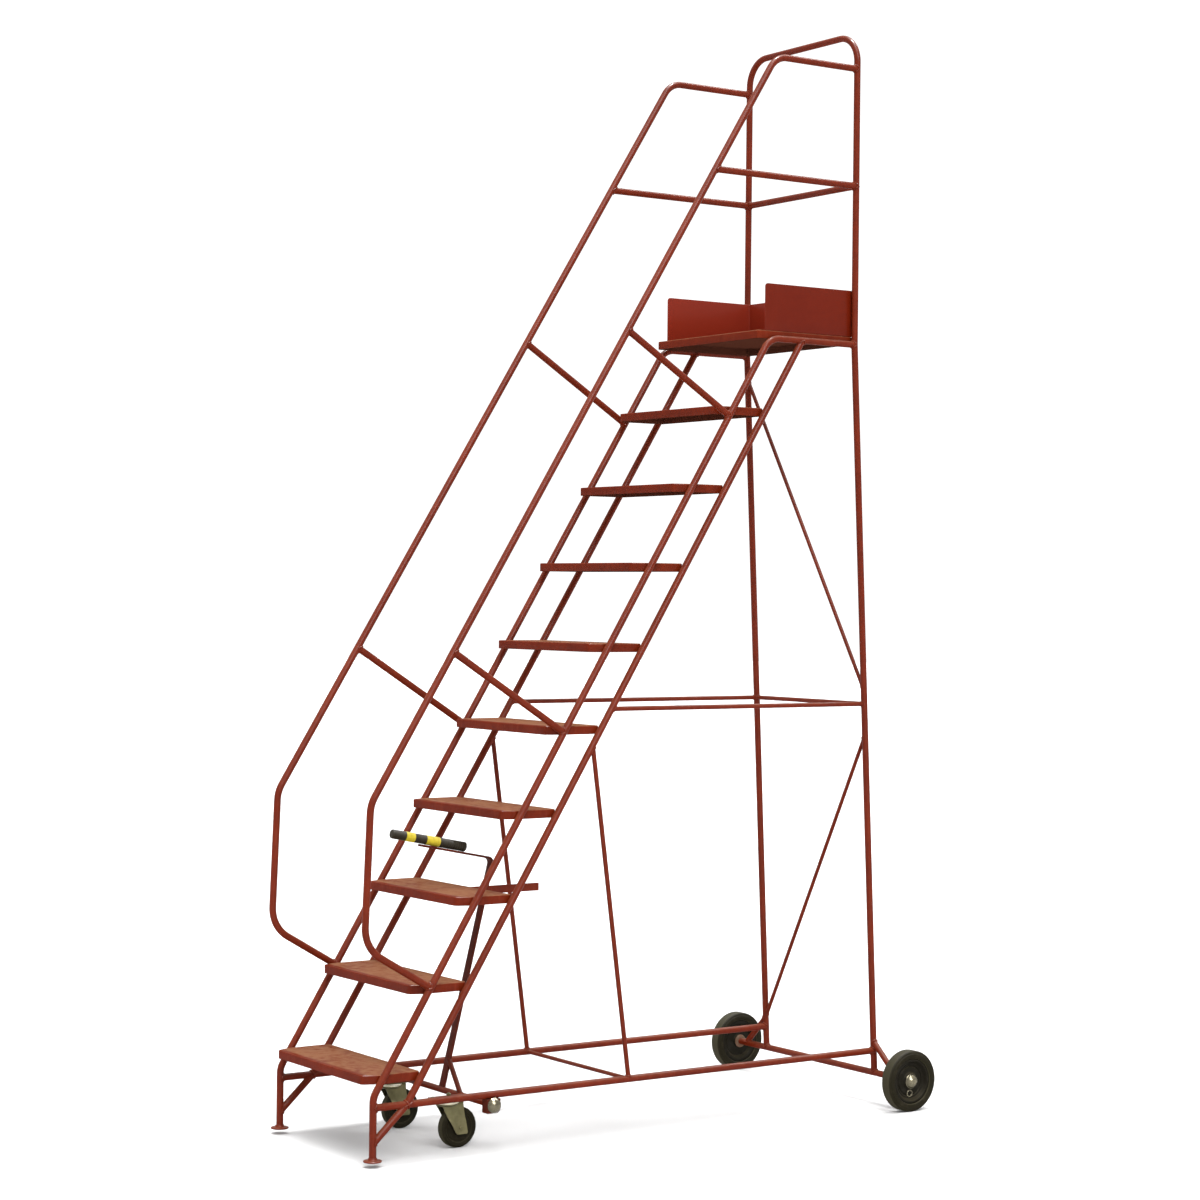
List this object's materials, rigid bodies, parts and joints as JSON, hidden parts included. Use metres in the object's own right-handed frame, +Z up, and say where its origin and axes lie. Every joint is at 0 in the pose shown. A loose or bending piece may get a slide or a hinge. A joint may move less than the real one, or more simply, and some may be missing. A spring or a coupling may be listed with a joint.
{
  "type": "mobile ladder stand",
  "caption": "Mobile ladder stand of welded red tube with pan treads, a guarded platform with toe board, large rear wheels and a hand lever that drops swivel castors at the front.",
  "frame": {"origin": "middle of the footprint, on the floor", "axes": "+Z up, +Y the way up the steps towards the rear wheels, +X on the climber's right"},
  "size_m": [0.9892, 2.0674, 3.5665],
  "materials": {
    "red_paint": "satin oxide-red enamel, rubbed at edges, dusty on the treads",
    "rubber_tyre": "dusty black solid rubber",
    "wheel_centre": "dark olive-black moulded centre",
    "zinc": "bright zinc-plated dome cap",
    "gold_passivate": "olive-gold passivated pressed steel",
    "grip_rubber": "ribbed black rubber with yellow bands"
  },
  "bodies": {
    "frame": {"axle_cap_left": "zinc", "axle_cap_right": "zinc", "axle_stay_left": "red_paint", "axle_stay_right": "red_paint", "axle_tube": "red_paint", "base_cross_bar": "red_paint", "base_rail_left": "red_paint", "base_rail_right": "red_paint", "foot_pad_left": "red_paint", "foot_pad_right": "red_paint", "foot_strut_left": "red_paint", "foot_strut_right": "red_paint", "handrail_left": "red_paint", "handrail_right": "red_paint", "handrail_strut_lower_left": "red_paint", "handrail_strut_lower_right": "red_paint", "handrail_strut_upper_left": "red_paint", "handrail_strut_upper_right": "red_paint", "knee_rail_back": "red_paint", "knee_rail_left": "red_paint", "knee_rail_right": "red_paint", "latch_bar": "red_paint", "mid_cross_bar": "red_paint", "mid_side_bar_left": "red_paint", "mid_side_bar_right": "red_paint", "mid_upright_left": "red_paint", "mid_upright_right": "red_paint", "platform_deck": "red_paint", "rear_brace_lower": "red_paint", "rear_brace_upper": "red_paint", "rear_hoop": "red_paint", "rocker_block_left": "red_paint", "rocker_block_right": "red_paint", "stringer_front_left": "red_paint", "stringer_front_right": "red_paint", "stringer_rear_left": "red_paint", "stringer_rear_right": "red_paint", "toe_board": "red_paint", "tread_1": "red_paint", "tread_2": "red_paint", "tread_3": "red_paint", "tread_4": "red_paint", "tread_5": "red_paint", "tread_6": "red_paint", "tread_7": "red_paint", "tread_8": "red_paint", "tread_9": "red_paint"},
    "rocker": {"rocker_shaft": "red_paint", "lever_bar": "red_paint", "lever_grip": "grip_rubber", "castor_plate_left": "red_paint", "castor_plate_right": "red_paint"},
    "castor_swivel_left": {"castor_fork_left": "gold_passivate"},
    "castor_swivel_right": {"castor_fork_right": "gold_passivate"},
    "castor_roll_left": {"castor_wheel_left": "rubber_tyre"},
    "castor_roll_right": {"castor_wheel_right": "rubber_tyre"},
    "rear_wheel_left": {"rear_tyre_left": "rubber_tyre", "rear_wheel_centre_left": "wheel_centre"},
    "rear_wheel_right": {"rear_tyre_right": "rubber_tyre", "rear_wheel_centre_right": "wheel_centre"}
  },
  "joints": [
    {"name": "lever_rock", "type": "hinge", "parent": "frame", "child": "rocker", "pos_m": [0, -0.57971, 0.1437], "axis": [-1, 0, 0], "range_deg": [0, 24]},
    {"name": "castor_swivel_left_turn", "type": "hinge", "parent": "rocker", "child": "castor_swivel_left", "pos_m": [-0.173, -0.66671, 0.1478], "axis": [0, 0, 1], "continuous": true},
    {"name": "castor_swivel_right_turn", "type": "hinge", "parent": "rocker", "child": "castor_swivel_right", "pos_m": [0.173, -0.66671, 0.1478], "axis": [0, 0, 1], "continuous": true},
    {"name": "castor_left_roll", "type": "hinge", "parent": "castor_swivel_left", "child": "castor_roll_left", "pos_m": [-0.173, -0.62871, 0.0625], "axis": [1, 0, 0], "continuous": true},
    {"name": "castor_right_roll", "type": "hinge", "parent": "castor_swivel_right", "child": "castor_roll_right", "pos_m": [0.173, -0.62871, 0.0625], "axis": [1, 0, 0], "continuous": true},
    {"name": "rear_wheel_left_roll", "type": "hinge", "parent": "frame", "child": "rear_wheel_left", "pos_m": [-0.464, 0.93369, 0.1], "axis": [1, 0, 0], "continuous": true},
    {"name": "rear_wheel_right_roll", "type": "hinge", "parent": "frame", "child": "rear_wheel_right", "pos_m": [0.464, 0.93369, 0.1], "axis": [1, 0, 0], "continuous": true}
  ]
}
